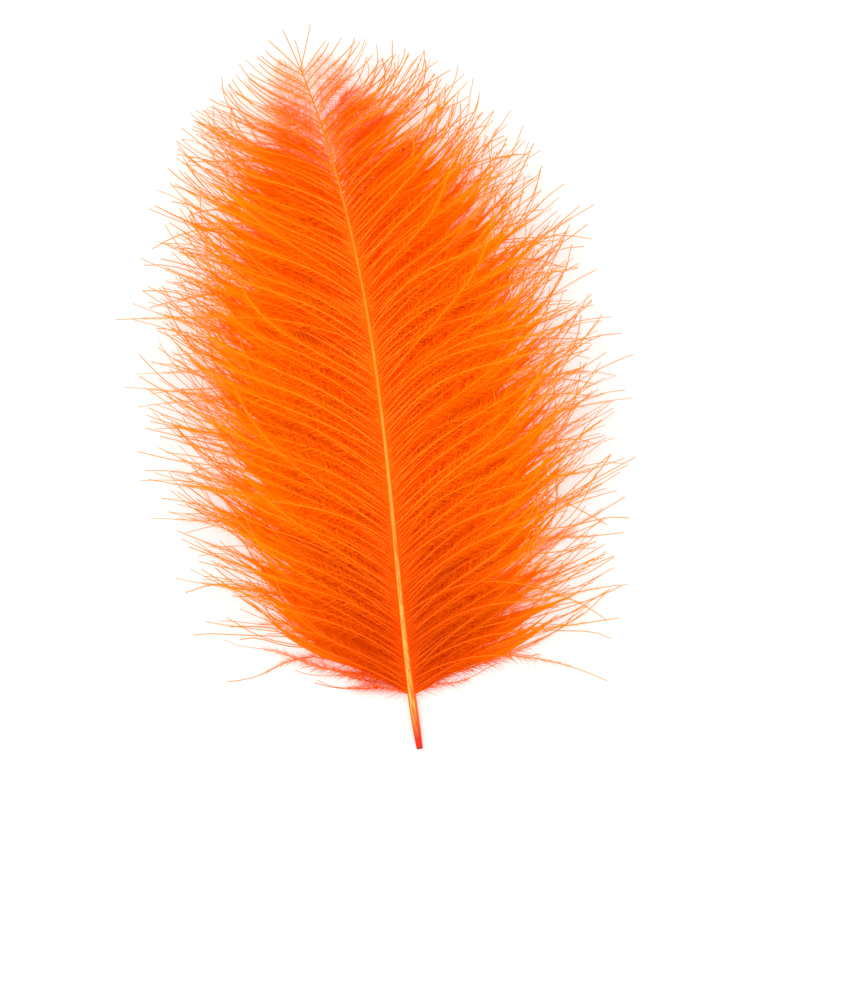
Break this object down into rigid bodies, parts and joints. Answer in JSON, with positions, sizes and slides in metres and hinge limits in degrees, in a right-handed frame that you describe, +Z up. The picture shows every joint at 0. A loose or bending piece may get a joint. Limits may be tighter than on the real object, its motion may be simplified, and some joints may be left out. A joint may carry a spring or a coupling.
{
  "type": "cul de canard feather",
  "caption": "Downy cul de canard duck feather, dyed orange, lying flat: a fine bowed shaft with a bare cut quill and two soft rows of long barbs.",
  "frame": {"origin": "on the surface that the feather lies on, under the middle of its outline", "axes": "+Y from the quill's cut end towards the feather's tip, +X to the right of the shaft seen from above, +Z up from the surface"},
  "size_m": [0.0384, 0.064, 0.0061],
  "materials": {
    "barbs": "soft dyed down, matte with a faint sheen along each barb",
    "shaft": "dyed horn of the shaft, glossy and slightly see-through, red at the cut end"
  },
  "bodies": {
    "root": {"feather": "barbs"}
  },
  "joints": []
}
